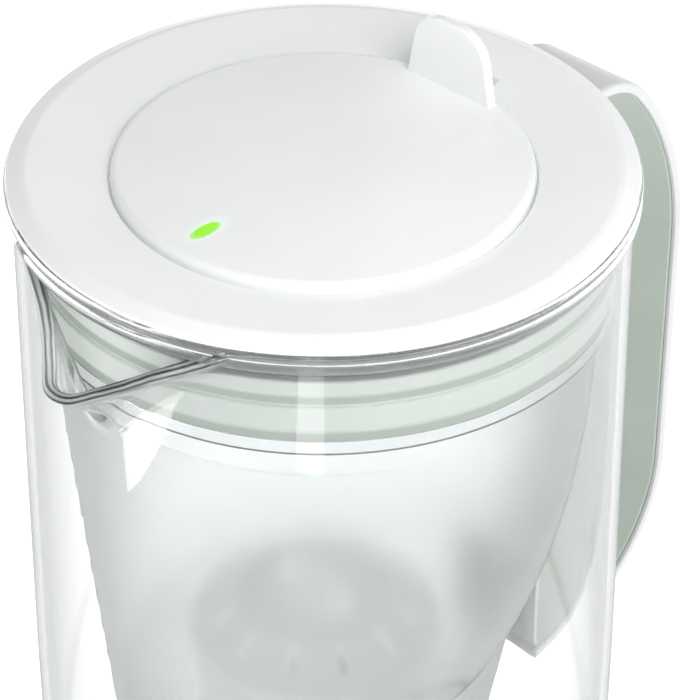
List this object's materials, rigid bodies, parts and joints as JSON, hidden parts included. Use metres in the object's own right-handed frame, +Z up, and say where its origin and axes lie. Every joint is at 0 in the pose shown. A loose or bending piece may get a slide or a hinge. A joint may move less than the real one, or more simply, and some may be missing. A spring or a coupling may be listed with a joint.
{
  "type": "water filter pitcher",
  "caption": "Glass jug with a pouring lip, strap handle, lift-out hopper with a filter cartridge, and a lid whose thumb-tab flap carries a change indicator.",
  "frame": {"origin": "on the table, at the middle of the jug's flat base, on the jug's axis", "axes": "+Z up along the jug's axis, +X towards the handle, -X towards the pouring lip, +Y completes the right-handed frame"},
  "size_m": [0.2049, 0.1444, 0.2488],
  "materials": {
    "clear_glass": "clear, polished",
    "clear_plastic": "clear, faintly milky, glossy",
    "sage_plastic": "satin, pale grey-green",
    "white_plastic": "glossy white",
    "grey_plastic": "satin light grey",
    "black_plastic": "satin black",
    "clear_rubber": "soft, milky",
    "grey_rubber": "soft, matt grey",
    "filter_granules": "granules, matt",
    "screen_mesh": "fine mesh, matt",
    "screw_steel": "plain stainless steel",
    "cell_steel": "bright nickel-plated",
    "contact_brass": "bright",
    "board_laminate": "green solder mask",
    "green_light": "clear green, lit"
  },
  "bodies": {
    "jug": {"glass_jug": "clear_glass", "rim_collar": "sage_plastic", "collar_seal": "clear_rubber", "handle_liner": "sage_plastic", "handle_cover": "white_plastic", "handle_screws": "screw_steel"},
    "funnel": {"funnel": "clear_plastic", "rim_band": "clear_plastic"},
    "cartridge": {"cartridge_shell": "white_plastic", "cartridge_cap": "white_plastic", "cartridge_seal": "grey_rubber", "filter_media": "filter_granules", "inlet_screen": "screen_mesh", "outlet_screen": "screen_mesh"},
    "lid": {"lid_ring": "white_plastic", "lid_seal": "clear_rubber", "hinge_pin": "screw_steel"},
    "flap": {"flap_cover": "white_plastic", "light_guide": "green_light", "indicator_housing": "grey_plastic", "housing_seal": "grey_rubber", "housing_screws": "screw_steel", "circuit_board": "board_laminate", "indicator_led": "green_light", "tact_switch": "black_plastic", "coin_cell": "cell_steel", "battery_contact": "contact_brass"},
    "battery_door": {"battery_door": "grey_plastic"},
    "reset_button": {"reset_button": "grey_rubber"}
  },
  "joints": [
    {"name": "funnel_lift", "type": "slide", "parent": "jug", "child": "funnel", "axis": [0, 0, 1], "range_m": [0, 0.21]},
    {"name": "lid_lift", "type": "slide", "parent": "funnel", "child": "lid", "axis": [0, 0, 1], "range_m": [0, 0.08]},
    {"name": "cartridge_lift", "type": "slide", "parent": "funnel", "child": "cartridge", "axis": [0, 0, 1], "range_m": [0, 0.08]},
    {"name": "flap_hinge", "type": "hinge", "parent": "lid", "child": "flap", "pos_m": [0.052, 0, 0.227], "axis": [0, 1, 0], "range_deg": [0, 85]},
    {"name": "battery_door_twist", "type": "hinge", "parent": "flap", "child": "battery_door", "pos_m": [-0.015, 0, 0.2132], "axis": [0, 0, 1], "range_deg": [0, 30]},
    {"name": "reset_button_press", "type": "slide", "parent": "flap", "child": "reset_button", "axis": [0, 0, 1], "range_m": [0, 0.0008], "stiffness_N_per_m": 400}
  ]
}
